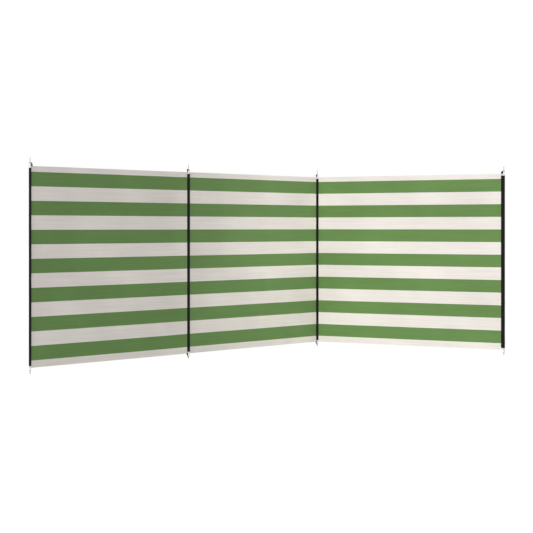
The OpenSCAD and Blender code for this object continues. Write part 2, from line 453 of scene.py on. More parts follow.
# The folds' noise: its roughness, the step between its scales and how many there are
FOLD_SCALES = (0.8, 2.1, 3)
# The ridges of a fan to a radian, and how often and how far they wander
FAN_RIDGES = 11
FAN_WAVES = 4
FAN_WANDER = 3
# How far from a corner the fans begin and end, and how far behind it they meet
FAN_START = 0.09
FAN_END = 0.34
FAN_CENTRE = 0.02
BAY_SEED = 7.3


def ease(distance, reach):
    """0 at no distance, 1 from reach on, and smooth between."""
    t = min(max(distance / reach, 0), 1)
    return t * t * (3 - 2 * t)


def belly(across, height, seed):
    """One wide swell, pressed towards the front in the middle of the bay."""
    wide, tall = BELLY_WAVES
    swell = noise.noise(Vector((wide * across + seed, tall * height, 0.5)))
    pressed = math.sin(math.pi * across) * (0.4 + 0.6 * math.sin(math.pi * height))
    return BELLY * swell - 0.5 * BELLY * pressed


def corner_fans(x, z, seed):
    """Short folds that fan out of the four corners."""
    total = 0
    for corner_x in (0, bay_w):
        for corner_z in (cloth_foot, cloth_top):
            dx, dz = abs(x - corner_x), abs(z - corner_z)
            reach = math.hypot(dx, dz)
            wander = noise.noise(Vector((FAN_WAVES * reach, corner_z, corner_x + seed)))
            angle = math.atan2(dz, dx + FAN_CENTRE)
            ridge = math.sin(FAN_RIDGES * angle + FAN_WANDER * wander)
            total += CORNER_FOLD * ridge * ease(reach, FAN_START) * (1 - ease(reach, FAN_END))
    return total


print(f"belly in the middle of bay 2: {belly(0.5, 0.5, 2 * BAY_SEED) / MM:.1f} mm")

# %% The rise and fall of a bay's cloth
# Distances from a sleeve over which the belly, the fans and the puckers come and go
FREE_AT = 0.30
FANS_FREE_AT = 0.12
PUCKERS_END = 0.05
PUCKERS_START = 0.004
# The hemmed edges move less than the rest
EDGE_SHARE = 0.55
EDGE_END = 0.05


def rise(i, x, z):
    """How far the cloth of bay i stands towards its back at x along the bay and height z."""
    side = min(x - sleeve_r, bay_w - sleeve_r - x)
    edge = min(z - cloth_foot, cloth_top - z)
    seed = BAY_SEED * i
    wide, tall = FOLD_WAVES
    fold = FOLD * noise.fractal(Vector((wide * x + seed, tall * z, seed)), *FOLD_SCALES)
    loose = ease(side, FREE_AT) * (belly(x / bay_w, (z - cloth_foot) / cloth_h, seed) + fold)
    loose += ease(side, FANS_FREE_AT) * corner_fans(x, z, seed)
    pucker = PUCKER * noise.noise(Vector((seed, PUCKER_WAVES * z, 0)))
    pucker *= (1 - ease(side, PUCKERS_END)) * ease(side, PUCKERS_START)
    return (EDGE_SHARE + (1 - EDGE_SHARE) * ease(edge, EDGE_END)) * loose + pucker


def settle(obj, i):
    """Moves a piece of bay i, still in the bay's local frame, with the cloth that it is sewn to."""
    for vertex in obj.data.vertices:
        vertex.co.y += rise(i, vertex.co.x, vertex.co.z)


middle_z = (cloth_foot + cloth_top) / 2
print(f"rise in the middle of bay 2: {rise(2, bay_w / 2, middle_z) / MM:.1f} mm")

# %% [markdown]
# The cloth of a bay is one woven sheet with the stripes in it. It starts as a grid at its flat size,
# stood upright. The UV map is written before it is bent, in metres, so the weave keeps its scale.

# %% Grids and maps
CELL = 12 * MM
CLOTH_T = 0.4 * MM


def new_map(obj):
    """An empty map for the weave, in place of the one that came with the primitive."""
    while obj.data.uv_layers:
        obj.data.uv_layers.remove(obj.data.uv_layers[0])
    return obj.data.uv_layers.new(name="weave")


def weave_map(obj):
    """Writes a UV map in metres: U along the bay, V above the cloth's foot."""
    layer = new_map(obj)
    for corner in obj.data.loops:
        co = obj.data.vertices[corner.vertex_index].co
        layer.data[corner.index].uv = (co.x, co.z - cloth_foot)


def upright_grid(name, x0, x1, z0, z1, y, cell):
    """A grid in a bay's local frame, from x0 to x1 and z0 to z1, with its front towards -Y."""
    bpy.ops.mesh.primitive_grid_add(
        x_subdivisions=max(1, round((x1 - x0) / cell)),
        y_subdivisions=max(1, round((z1 - z0) / cell)),
        size=1,
        location=((x0 + x1) / 2, y, (z0 + z1) / 2),
        rotation=(math.pi / 2, 0, 0),
    )
    grid = new_piece(name)
    grid.scale = (x1 - x0, z1 - z0, 1)
    return place(grid, Matrix.Identity(4))


def finish_on_bay(obj, i, thickness, degrees, material):
    """Settles a flat piece on the cloth of bay i, thickens it, puts it in place and dresses it."""
    weave_map(obj)
    settle(obj, i)
    thicken(obj, thickness)
    place(obj, bay_matrix(i))
    smooth(obj, degrees)
    return dress(obj, material, SPAN_OF_BAY[i])


print(f"cells of {CELL / MM:.0f} mm")


# %% Cloth of the bays
def bay_ends(i):
    """Where the cloth of bay i starts and ends along the bay."""
    start = sleeve_r + (HINGE_GAP if i == 3 else 0)
    end = bay_w - sleeve_r - (HINGE_GAP if i == 1 else 0)
    return start, end


for i in BAYS:
    cloth = upright_grid(f"bay_{i}_cloth", *bay_ends(i), cloth_foot, cloth_top, 0, CELL)
    finish_on_bay(cloth, i, CLOTH_T, 60, striped_cloth)
    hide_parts(f"bay_{i}_green", f"bay_{i}_cream")

# %% [markdown]
# The top and foot edges are turned to the back and sewn down. A turned hem is a strip that comes over
# the cloth's edge as a small roll and lies on its back, so its outline is a hook. The strip is a grid
# whose outer rows are bent over the edge, and the stitches draw it in along one line.

# %% Outline of a hem
HEM_H = 25 * MM
HEM_T = 0.45 * MM
HEM_LIP = 3 * MM
HEM_GAP = 0.1 * MM
HEM_ROLL = 0.9 * MM
HEM_SLACK = 0.9 * MM
ROLL_STEPS = 6
HEM_STEPS = 15
HEM_CELL = 8 * MM
# Where the stitches run, how wide the line is that they draw in, and by what share of the slack
HEM_SEW = 21 * MM
DRAWN_W = 1.6 * MM
DRAWN_SHARE = 0.55
# By what share the slack has gone at the hem's free edge
SETTLED_SHARE = 0.35
hem_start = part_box("bay_2_top_hem")[0].x - pole_at[2].x


def hem_profile():
    """Points of a hem's outline as (depth behind the cloth, distance in from the edge)."""
    front = -CLOTH_T / 2 - HEM_GAP
    points = [(front, HEM_LIP)]
    for k in range(ROLL_STEPS + 1):
        angle = math.pi * k / ROLL_STEPS
        points.append((front + HEM_ROLL * (1 - math.cos(angle)), HEM_ROLL * (1 - math.sin(angle))))
    for k in range(1, HEM_STEPS + 1):
        down = HEM_ROLL + (HEM_H - HEM_ROLL) * k / HEM_STEPS
        drawn = 1 - DRAWN_SHARE * math.exp(-(((down - HEM_SEW) / DRAWN_W) ** 2))
        slack = HEM_SLACK * drawn * (1 - SETTLED_SHARE * (down / HEM_H))
        points.append((CLOTH_T / 2 + slack, down))
    return points


profile = hem_profile()


# %% Hems
def make_hem(i, where):
    rows = len(profile) - 1
    x0, x1 = hem_start, bay_w - hem_start
    bpy.ops.mesh.primitive_grid_add(
        x_subdivisions=round((x1 - x0) / HEM_CELL), y_subdivisions=rows, size=1
    )
    hem = new_piece(f"bay_{i}_{where}_hem_fold")
    edge, outwards = EDGE[where]
    for vertex in hem.data.vertices:
        x = x0 + (x1 - x0) * (vertex.co.x + 0.5)
        depth, down = profile[round((vertex.co.y + 0.5) * rows)]
        vertex.co = (x, depth, edge - outwards * down)
    recalculate(hem)
    finish_on_bay(hem, i, HEM_T, 50, plain_cloth)
    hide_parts(f"bay_{i}_{where}_hem")
    return hem


hems = {(i, where): make_hem(i, where) for i in BAYS for where in EDGE}
print("hems made:", len(hems))

# %% [markdown]
# Each corner of a bay has a square patch of the same cloth on its front, where the webbing pulls.
# Its edges are turned under, so they stand a little higher than the middle.

# %% Corner patches
PATCH_W = 38 * MM
PATCH_T = 0.5 * MM
PATCH_CELL = 2 * MM
PATCH_RISE = 0.25 * MM
TURNED_W = 4 * MM
TURNED_RISE = 0.35 * MM
TURNED_SLOPE = 2 * MM
patch_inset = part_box("bay_2_patches")[0].z - cloth_foot


def patch_corners():
    """The lower left corner of each patch of a bay, in the bay's local frame."""
    for x in (hem_start, bay_w - hem_start - PATCH_W):
        for z in (cloth_foot + patch_inset, cloth_top - patch_inset - PATCH_W):
            yield x, z


def make_patches(i):
    parts = []
    for x, z in patch_corners():
        far_x, far_z = x + PATCH_W, z + PATCH_W
        patch = upright_grid(f"patch_{len(parts)}", x, far_x, z, far_z, -CLOTH_T / 2, PATCH_CELL)
        for vertex in patch.data.vertices:
            co = vertex.co
            side = min(co.x - x, far_x - co.x, co.z - z, far_z - co.z)
            turned = TURNED_RISE * (1 - ease(side - TURNED_W, TURNED_SLOPE))
            co.y -= PATCH_RISE + turned * ease(side + TURNED_SLOPE / 2, TURNED_SLOPE)
        parts.append(patch)
    only(parts[0])
    for patch in parts[1:]:
        patch.select_set(True)
    bpy.ops.object.join()
    patches = new_piece(f"bay_{i}_corner_patches")
    finish_on_bay(patches, i, PATCH_T, 50, plain_cloth)
    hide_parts(f"bay_{i}_patches")
    return patches


patches = {i: make_patches(i) for i in BAYS}
print("patches made:", len(patches))

# %% [markdown]
# A sleeve is a strip of black cloth folded round the pole and sewn to itself beside it. Its outline is
# a circle with a flat tail where the two layers meet. The outline is pulled upwards in short steps, so
# that the cloth can crease, and the mouths are hemmed, a little fuller than the rest.

# %% Creases of a sleeve
CREASE = 0.42 * MM
RIPPLE = 0.14 * MM
# How often creases and ripples come, round the pole and in a metre of its height
CREASE_WAVES = (2.1, 6.5)
RIPPLE_WAVES = (1.3, 45)
CREASE_SCALES = (0.9, 2.0, 3)
# Lifts the noise, so that more than half of it makes creases
CREASE_LIFT = 0.15
# How far each sleeve swells out. Those of the inner poles are drawn tight, as a bay turns about them.
FULLNESS = {1: 0.45 * MM, 2: 0.15 * MM, 3: 0.15 * MM, 4: 0.45 * MM}
MOUTH_FULLNESS = 0.4
MOUTH_HEM = 9 * MM
MOUTH_SLOPE = 3 * MM
TAIL_RIPPLE = 0.12 * MM
TAIL_WAVES = (60, 48)
SLEEVE_SEED = 3.7


def sleeve_creases(turn, z, seed):
    """How far a sleeve's cloth sinks in at a point: long creases that run up the pole."""
    x, y = math.cos(turn), math.sin(turn)
    across, up = CREASE_WAVES
    dent = noise.fractal(Vector((across * x + seed, across * y, up * z)), *CREASE_SCALES)
    across, up = RIPPLE_WAVES
    ripple = 0.5 + 0.5 * noise.noise(Vector((across * x, across * y + seed, up * z)))
    return CREASE * max(0, dent + CREASE_LIFT) + RIPPLE * ripple


def crease(sleeve, i):
    """Swells and creases the round part of a sleeve, and ripples its tail."""
    seed = SLEEVE_SEED * i
    for vertex in sleeve.data.vertices:
        x, y, z = vertex.co
        radius = math.hypot(x, y)
        if radius < sleeve_r:
            mouth = min(z - sleeve_low.z, sleeve_high.z - z)
            hem = 1 - ease(mouth - MOUTH_HEM + 2 * MM, MOUTH_SLOPE)
            sink = (sleeve_creases(math.atan2(y, x), z, seed) - FULLNESS[i]) * (1 - hem)
            scale = (radius - sink + MOUTH_FULLNESS * FULLNESS[i] * hem) / radius
            vertex.co.x, vertex.co.y = x * scale, y * scale
        else:
            across, up = TAIL_WAVES
            vertex.co.y += TAIL_RIPPLE * noise.noise(Vector((across * x, seed, up * z)))


print(f"sleeve 1 sinks in by {sleeve_creases(0, 1, SLEEVE_SEED) / MM:.2f} mm at its seam")

# %% Outline and map of a sleeve
SLEEVE_T = 0.5 * MM
SLEEVE_SIDES = 40
SLEEVE_TURN = math.radians(8)
SLEEVE_STEP = 6 * MM
CLOTH_SOLID_T = 1.2 * MM
# Where the tail leaves the round part, and how it goes on
TAIL_START = sleeve_r + 0.6 * MM
TAIL_DEPTH = 1.1 * MM
TAIL_STEPS = 5
TAIL_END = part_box("sleeve_1")[1].x - pole_at[1].x


def extrude(x, y, z):
    bpy.ops.mesh.extrude_region_move(TRANSFORM_OT_translate={"value": (x, y, z)})


def draw_tail(sleeve):
    """Draws the circle's vertex nearest to the cloth out along it, in edit mode."""
    mesh = bmesh.from_edit_mesh(sleeve.data)
    for vertex in mesh.verts:
        vertex.select = False
    start = min(mesh.verts, key=lambda v: math.hypot(v.co.x - sleeve_r, v.co.y - CLOTH_SOLID_T))
    start.select = True
    mesh.select_flush(True)
    bmesh.update_edit_mesh(sleeve.data)
    extrude(TAIL_START - start.co.x, TAIL_DEPTH - start.co.y, 0)
    for _ in range(TAIL_STEPS):
        extrude((TAIL_END - TAIL_START) / TAIL_STEPS, 0, 0)


def round_map(obj):
    """Writes a UV map in metres: U round the pole, or along the tail, and V up it."""
    layer = obj.data.uv_layers.new(name="weave")
    for polygon in obj.data.polygons:
        middle = math.atan2(polygon.center.y, polygon.center.x)
        for index in polygon.loop_indices:
            co = obj.data.vertices[obj.data.loops[index].vertex_index].co
            turn = math.atan2(co.y, co.x)
            turn += 2 * math.pi * round((middle - turn) / (2 * math.pi))
            tail = max(0, co.x - sleeve_r)
            layer.data[index].uv = (turn * sleeve_r - tail, co.z)


print(f"a tail is {(TAIL_END - TAIL_START) / MM:.1f} mm wide")


# %% Sleeves
def make_sleeve(i):
    low, height = sleeve_low.z, sleeve_high.z - sleeve_low.z
    bpy.ops.mesh.primitive_circle_add(
        vertices=SLEEVE_SIDES, radius=sleeve_r - SLEEVE_T / 2, location=(0, 0, low)
    )
    sleeve = new_piece(f"sleeve_{i}_cloth")
    place(sleeve, Matrix.Rotation(SLEEVE_TURN, 4, "Z"))
    only(sleeve)
    bpy.ops.object.mode_set(mode="EDIT")
    if i in END_POLES:
        draw_tail(sleeve)
    bpy.ops.mesh.select_all(action="SELECT")
    steps = round(height / SLEEVE_STEP)
    for _ in range(steps):
        extrude(0, 0, height / steps)
    bpy.ops.object.mode_set(mode="OBJECT")
    crease(sleeve, i)
    recalculate(sleeve)
    round_map(sleeve)
    thicken(sleeve, SLEEVE_T)
    place(sleeve, pole_matrix(i))
    smooth(sleeve, 55)
    dress(sleeve, sleeve_cloth, SPAN_OF_POLE[i])
    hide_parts(f"sleeve_{i}")
    return sleeve


sleeves = {i: make_sleeve(i) for i in POLES}
print("sleeves made:", [len(sleeves[i].data.polygons) for i in POLES], "faces")

# %% [markdown]
# Beside the two inner poles the cloth's raw edge is bound with a folded strip of the black cloth. Its
# outline is a narrow U round the cloth's edge. Bays 1 and 3 turn on their poles, so their bindings stay
# a hair clear of the sleeve, and bay 2's bindings are sewn to the sleeves themselves.

# %% Outline of a binding
BINDING_T = 0.35 * MM
BINDING_STEP = 8 * MM
BINDING_WAVE = 0.12 * MM
BINDING_WAVES = 70
BINDING_END = pole_at[3].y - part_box("bay_3_binding")[0].y
# How far each binding reaches over its bay's cloth from the pole's axis: those of bay 2 are cut wider
BINDING_REACH = {
    (1, 2): BINDING_END + 3 * MM,
    (2, 2): 18 * MM,
    (2, 3): 17 * MM,
    (3, 3): BINDING_END,
}
# How far a binding's fold stands out over the cloth's edge, on a turning bay and on bay 2
TURNING_FOLD = 0.1 * MM
SEWN_FOLD = 0.45 * MM
LEAF_STEP = 1.6 * MM
LEAF_PUFF = 0.08 * MM
FOLD_STEPS = 6


def binding_outline(edge_x, reach):
    """Points of a binding's outline as (x along the bay, depth), from the front round to the back."""
    half = CLOTH_T / 2 + BINDING_T / 2 + 0.05 * MM
    fold_x = edge_x + half
    front = [
        (reach - LEAF_STEP * k, -half - LEAF_PUFF * math.sin(math.pi * k / 2)) for k in range(3)
    ]
    turns = [math.pi * k / FOLD_STEPS for k in range(FOLD_STEPS + 1)]
    fold = [(fold_x - half * math.sin(turn), -half * math.cos(turn)) for turn in turns]
    return front + fold + [(x, -y) for x, y in reversed(front)]


print(f"the bindings of the turning bays are {(BINDING_END - sleeve_r) / MM:.1f} mm wide or more")


# %% Bindings
def make_binding(i, pole):
    """The binding of bay i beside an inner pole, in place."""
    start, end = bay_ends(i)
    at_start = pole == i
    edge = start if at_start else bay_w - end
    edge_x = edge - (SEWN_FOLD if i == 2 else TURNING_FOLD)
    outline = binding_outline(edge_x + BINDING_T / 2, BINDING_REACH[i, pole])
    low, height = sleeve_low.z, sleeve_high.z - sleeve_low.z
    bpy.ops.mesh.primitive_grid_add(
        x_subdivisions=len(outline) - 1, y_subdivisions=round(height / BINDING_STEP), size=1
    )
    strip = new_piece(f"binding_of_bay_{i}_at_pole_{pole}")
    for vertex in strip.data.vertices:
        x, y = outline[round((vertex.co.x + 0.5) * (len(outline) - 1))]
        z = low + height * (vertex.co.y + 0.5)
        wave = BINDING_WAVE * noise.noise(Vector((i + pole, BINDING_WAVES * z, 0)))
        wave *= ease(x - edge, 3 * MM)
        vertex.co = (x + 2 * wave if at_start else bay_w - x - 2 * wave, y + wave, z)
    recalculate(strip)
    return finish_on_bay(strip, i, BINDING_T, 55, sleeve_cloth)


bindings = {(i, pole): make_binding(i, pole) for i, pole in BINDING_REACH}
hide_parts("bay_1_binding")
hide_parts("bay_3_binding")
print("bindings made:", len(bindings))

# %% [markdown]
# The cloth hangs on the poles by webbing. A strap starts on the front of the cloth's corner, in the
# cloth's plane. It bows out past the tube's end, turns by a quarter on its way and bends over the cap,
# and the pin comes through an eyelet in its end. Those of the inner poles, where two bays meet, are
# folded narrow beside the tube. A strap is a flat strip whose points are laid along the bent path.

# %% Path of a strap
WEB_T = 1.25 * MM
WEB_SHOW_T = 2.2 * MM
BEND_R = 4 * MM
BEND_STEPS = 8
TAB_GAP = 0.75 * MM
STRAP_STEP = 1 * MM
tab_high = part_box("top_tab_1")[1]
crown = tab_high.z - cloth_top - WEB_T
strap_reach = tab_high.x - pole_at[1].x
# The straps of pole 2 turn about it with bay 1, so they and the ferrules stand this much further out
LIFT = {pole: 0 for pole in POLES}
LIFT[2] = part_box("top_loop_2")[1].z - tab_high.z


def evenly(corners):
    """A path through some corners, with a point about every STRAP_STEP."""
    path = [corners[0]]
    for a, b in zip(corners, corners[1:]):
        steps = max(1, round(math.dist(a, b) / STRAP_STEP))
        for k in range(1, steps + 1):
            path.append((a[0] + (b[0] - a[0]) * k / steps, a[1] + (b[1] - a[1]) * k / steps))
    return path


def strap_path(lift, end_x):
    """The middle line of a strap in (x, height over the cloth's edge)."""
    radius = BEND_R + WEB_SHOW_T / 2
    foot_x = sleeve_r + TAB_GAP
    bend_x = strap_reach - WEB_T - BEND_R
    bend_h = crown + lift - BEND_R
    dx, dh = foot_x - bend_x, -bend_h
    lean = math.atan2(dh, dx) + math.acos(BEND_R / math.hypot(dx, dh))
    corners = [(foot_x + WEB_SHOW_T / 2, 0)]
    for k in range(BEND_STEPS + 1):
        angle = lean + (math.pi / 2 - lean) * k / BEND_STEPS
        corners.append((bend_x + radius * math.cos(angle), bend_h + radius * math.sin(angle)))
    corners.append((end_x, bend_h + radius))
    return evenly(corners)


print(f"the straps' crowns lie {crown / MM:.1f} mm over the cloth's edge")

# %% Shapes of the straps
END_TAB_W = 15.5 * MM
CROWN_W = 13.5 * MM
TWIST_W = 14.2 * MM
FOLDED_W = 6 * MM


def change(height, low, high, start, over):
    """Goes smoothly from low to high, beginning at a height and over a stretch of it."""
    return low + (high - low) * ease(height - start, over)


def end_tab_shape(height):
    """Width, quarter turn and shift along the cloth of an end pole's strap, at a height."""
    turn = change(height, 0, 1, start=12 * MM, over=8 * MM)
    root_w = change(height, 11 * MM, TWIST_W, start=0, over=7 * MM)
    width = root_w + (END_TAB_W - TWIST_W) * turn
    return width, turn, change(height, 6.4 * MM, 4.5 * MM, start=0, over=9 * MM) * (1 - turn)


def top_loop_shape(height):
    width = change(height, 8 * MM, CROWN_W, start=15 * MM, over=5 * MM)
    turn = change(height, 0, 1, start=3 * MM, over=11 * MM)
    return width, turn, 3 * MM * (1 - turn)


def foot_loop_shape(height):
    width = change(height, 15.5 * MM, FOLDED_W, start=10 * MM, over=3.5 * MM)
    width += change(height, 0, CROWN_W - FOLDED_W, start=16.5 * MM, over=4 * MM)
    turn = change(height, 0, 0.4, start=9 * MM, over=4 * MM)
    turn += change(height, 0, 0.6, start=15 * MM, over=4 * MM)
    return width, turn, change(height, 6.3 * MM, 0, start=9 * MM, over=5 * MM)


print(f"an end tab is {end_tab_shape(0)[0] / MM:.1f} mm wide where it leaves the cloth")

# %% Parts of a strap
eyelet_low, eyelet_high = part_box("top_eyelet_2")
EYELET_R = (eyelet_high.x - eyelet_low.x) / 2
HOLE_GAP = 0.1 * MM
HOLE_SIDES = 40
WEB_COLUMN = 1.25 * MM
EDGE_ROUND = 0.25 * MM
BODY_OF_STRAP = {**SPAN_OF_POLE, 2: "left_span"}
ROOT_H = {"top": 2 * MM, "foot": 5 * MM}
STRAP_T = {"top": WEB_SHOW_T, "foot": WEB_T + 0.15 * MM}
# The gap between a strap's root and the front of the cloth or of its patch
ROOT_GAP = {"top": 0.1 * MM, "foot": 0.9 * MM}


def flat_strip(name, rows, width):
    """A flat strip of webbing, with its map in metres along and across it."""
    bpy.ops.mesh.primitive_grid_add(
        x_subdivisions=rows, y_subdivisions=round(width / WEB_COLUMN), size=1
    )
    strip = new_piece(name)
    layer = new_map(strip)
    for corner in strip.data.loops:
        co = strip.data.vertices[corner.vertex_index].co
        layer.data[corner.index].uv = (co.x * rows * STRAP_STEP, co.y * width)
    return strip


def punch_hole(strap, z):
    """Cuts the hole for the eyelet's barrel round the pole's axis."""
    bpy.ops.mesh.primitive_cylinder_add(
        vertices=HOLE_SIDES, radius=EYELET_R + HOLE_GAP, depth=3 * WEB_SHOW_T, location=(0, 0, z)
    )
    punch = new_piece("punch")
    modify(strap, "BOOLEAN", operation="DIFFERENCE", solver="EXACT", object=punch)
    only(punch)
    bpy.ops.object.delete()


print(f"an eyelet's barrel has a radius of {EYELET_R / MM:.2f} mm")


# %% Straps
def make_strap(name, pole, where, width, shape_at):
    """A strap over one end of a pole, shaped by shape_at and width wide at the pin."""
    path = strap_path(LIFT[pole], -width / 2)
    root_points = round(ROOT_H[where] / STRAP_STEP)
    root = [(path[0][0], (k - root_points) * STRAP_STEP) for k in range(root_points)]
    path = root + path
    rows = len(path) - 1
    strap = flat_strip(name, rows, width)
    edge, outwards = EDGE[where]
    # Local +Y is the cloth's back at pole 1, and its front at the others
    front = -1 if pole == 1 else 1
    face = front * (CLOTH_T / 2 + ROOT_GAP[where] + STRAP_T[where] / 2)
    for vertex in strap.data.vertices:
        x, height = path[round((vertex.co.x + 0.5) * rows)]
        if x < 0:
            # The end is cut round, about the pin
            rounded = 0.02 + 0.98 * math.sqrt(max(0.0, 1 - (2 * x / width) ** 2))
            along_x, across = 0, vertex.co.y * width * rounded
        else:
            local_width, turn, shift = shape_at(height)
            reach = vertex.co.y * local_width
            along_x = reach * math.cos(turn * math.pi / 2) + shift
            across = reach * math.sin(turn * math.pi / 2) + face * (1 - turn)
        vertex.co = (x + along_x, across, edge + outwards * height)
    recalculate(strap)
    thicken(strap, STRAP_T[where])
    punch_hole(strap, edge + outwards * (crown + LIFT[pole] + WEB_T / 2))
    modify(strap, "BEVEL", width=EDGE_ROUND, segments=2, angle_limit=math.radians(60))
    place(strap, pole_matrix(pole) @ Matrix.Rotation(math.pi if pole == 2 else 0, 4, "Z"))
    smooth(strap, 45)
    dress(strap, webbing, BODY_OF_STRAP[pole])
    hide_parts(name.removesuffix("_webbing"))
    return strap


straps = {}
for pole in END_POLES:
    name = f"top_tab_{pole}_webbing"
    straps["top", pole] = make_strap(name, pole, "top", END_TAB_W, end_tab_shape)
for pole in (2, 3):
    for where, shape_at in (("top", top_loop_shape), ("foot", foot_loop_shape)):
        name = f"{where}_loop_{pole}_webbing"
        straps[where, pole] = make_strap(name, pole, where, CROWN_W, shape_at)
print("straps made:", [len(strap.data.polygons) for strap in straps.values()], "faces")

# %% [markdown]
# A thin steel ferrule is pressed over each end of a tube and rolled in over the cap's shoulder. It is
# spun from its outline: a soft lip, a shallow bead that grips the tube, and the rim over the cap.

# %% Ferrules
FERRULE_R = 8.5 * MM
FERRULE_FROM = 3 * MM
FERRULE_SIDES = 48
BEAD_UP = 4.5 * MM
RIM_UP = 2.4 * MM
tube_end = tube_high.z - cloth_top


def ferrule_outline(lift):
    """Points of a ferrule's outline as (distance from the axis, height over the cloth's edge)."""
    inner, outer = tube_r + 0.05 * MM, FERRULE_R
    skin = outer - 0.15 * MM
    low, high = FERRULE_FROM, tube_end + RIM_UP + lift
    bead = low + BEAD_UP
    lip = [
        (inner, low + 0.3 * MM), (inner + 0.35 * MM, low), (outer - 0.1 * MM, low + 0.15 * MM),
        (outer, low + 0.7 * MM), (skin, low + 2.6 * MM),
    ]
    groove = [
        (skin, bead - 1 * MM), (outer - 0.55 * MM, bead - 0.4 * MM), (outer - 0.6 * MM, bead),
        (outer - 0.55 * MM, bead + 0.4 * MM), (skin, bead + 1 * MM),
    ]
    rim = [
        (skin, high - 1.2 * MM), (outer - 0.35 * MM, high - 0.4 * MM), (outer - 0.8 * MM, high),
        (inner - 0.25 * MM, high + 0.1 * MM), (inner, high - 0.6 * MM),
    ]
    return lip + groove + rim


def make_ferrule(pole, where):
    edge, outwards = EDGE[where]
    outline = ferrule_outline(LIFT[pole])
    bpy.ops.mesh.primitive_circle_add(vertices=len(outline), radius=1 * MM)
    ferrule = new_piece(f"{where}_ferrule_{pole}")
    for vertex, (r, h) in zip(ferrule.data.vertices, outline):
        vertex.co = (r, 0, edge + outwards * h)
    only(ferrule)
    bpy.ops.object.mode_set(mode="EDIT")
    bpy.ops.mesh.select_all(action="SELECT")
    bpy.ops.mesh.spin(steps=FERRULE_SIDES, angle=2 * math.pi, center=(0, 0, 0), axis=(0, 0, 1))
    bpy.ops.object.mode_set(mode="OBJECT")
    recalculate(ferrule)
    place(ferrule, pole_matrix(pole))
    smooth(ferrule, 40)
    return dress(ferrule, ferrule_steel, SPAN_OF_POLE[pole])


ferrules = [make_ferrule(pole, where) for pole in POLES for where in EDGE]
print("ferrules made:", len(ferrules))

# %% [markdown]
# Stitches hold it all together: a row along each hem, round each corner patch with a cross in it, down
# each binding and tail, and about each eyelet. One stitch is a small lens that is half sunk into the
# cloth. It has only 20 faces, because there are thousands. A row is a list of places, and one mesh
# takes a copy of the stitch at each, turned along the row.

# %% Thread and one stitch
STITCH_L = 2.5 * MM
STITCH_W = 0.55 * MM
STITCH_H = 0.4 * MM
LAY_SLANT = (0.5, 0.6, 0.7)
LAY_WAVES = (1800, 1800, 1800)


def thread(name, colour):
    """Twisted sewing thread: a dull sheen and a slanting lay, a little uneven along its length."""
    material, tree, shader = new_material(name, Roughness=0.6, Specular_IOR_Level=0.25)
    at = add_node(tree, "TexCoord").outputs["Object"]
    slant = add_node(tree, "Mapping", {"Vector": at, "Rotation": LAY_SLANT, "Scale": LAY_WAVES})
    wave = {"Vector": slant.outputs["Vector"], "Distortion": 1.5}
    lay = add_node(tree, "TexWave", wave).outputs["Fac"]
    # The grooves of the lay are painted darker than its crests: painted shade
    feed(tree, shader.inputs["Base Color"], two_tones(tree, lay, colour, (0, 0.7), (1, 1)))
    bump(tree, shader, lay, strength=0.4, distance=0.05 * MM)
    return material


cream_thread = thread("cream_thread", (0.80, 0.76, 0.70))
black_thread = thread("black_thread", (0.030, 0.030, 0.032))

bpy.ops.mesh.primitive_ico_sphere_add(subdivisions=1, radius=0.5)
one_stitch = new_piece("one_stitch")
STITCH_POINTS = [
    (v.co.x * STITCH_L, v.co.y * STITCH_H, v.co.z * STITCH_W) for v in one_stitch.data.vertices
]
STITCH_FACES = [tuple(polygon.vertices) for polygon in one_stitch.data.polygons]
only(one_stitch)
bpy.ops.object.delete()
print("a stitch has", len(STITCH_FACES), "faces")

# %% Sewing
FRONT = Vector((0, -1, 0))
BACK = Vector((0, 1, 0))


def row(a, b, pitch):
    """Stitches from point a to point b, as (middle, direction)."""
    a, b = Vector(a), Vector(b)
    count = max(1, round((b - a).length / pitch))
    way = (b - a).normalized()
    return [(a + (b - a) * (k + 0.5) / count, way) for k in range(count)]


def sew(name, stitches, outwards, matrix, material, body):
    """One mesh of stitches. outwards is their normal, or a function of the stitch's middle."""
    points, faces = [], []
    for middle, way in stitches:
        normal = outwards(middle) if callable(outwards) else outwards
        side = way.cross(normal)
        first = len(points)
        for x, y, z in STITCH_POINTS:
            points.append(middle + way * x + normal * y + side * z)
        faces += [tuple(first + k for k in face) for face in STITCH_FACES]
    mesh = bpy.data.meshes.new(name)
    mesh.from_pydata(points, [], faces)
    seam = bpy.data.objects.new(name, mesh)
    bpy.context.scene.collection.objects.link(seam)
    recalculate(seam)
    place(seam, matrix)
    smooth(seam, 80)
    return dress(seam, material, body)


def on_cloth(i, stitches, depth):
    """Lays stitches on the cloth of bay i, at a depth behind its middle."""
    return [(Vector((m.x, depth + rise(i, m.x, m.z), m.z)), way) for m, way in stitches]


print("sewing ready")

# %% Rows on a bay
HEM_PITCH = 3.6 * MM
PATCH_PITCH = 2.7 * MM
BINDING_PITCH = 4.2 * MM


def hem_rows():
    start, end = hem_start + 2 * MM, bay_w - hem_start - 2 * MM
    for z in (cloth_top - HEM_SEW, cloth_foot + HEM_SEW):
        yield from row((start, 0, z), (end, 0, z), HEM_PITCH)


def patch_rows(inset, crossed):
    """The square round each patch, or the cross inside it."""
    for x, z in patch_corners():
        low_x, high_x = x + inset, x + PATCH_W - inset
        low_z, high_z = z + inset, z + PATCH_W - inset
        corners = [(low_x, 0, low_z), (high_x, 0, low_z), (high_x, 0, high_z), (low_x, 0, high_z)]
        if crossed:
            yield from row(corners[0], corners[2], PATCH_PITCH)
            yield from row(corners[1], corners[3], PATCH_PITCH)
        else:
            for a, b in zip(corners, corners[1:] + corners[:1]):
                yield from row(a, b, PATCH_PITCH)


def binding_row(i, pole):
    x = BINDING_REACH[i, pole] - 1.7 * MM
    x = x if pole == i else bay_w - x
    return row((x, 0, sleeve_low.z + 2 * MM), (x, 0, sleeve_high.z - 2 * MM), BINDING_PITCH)


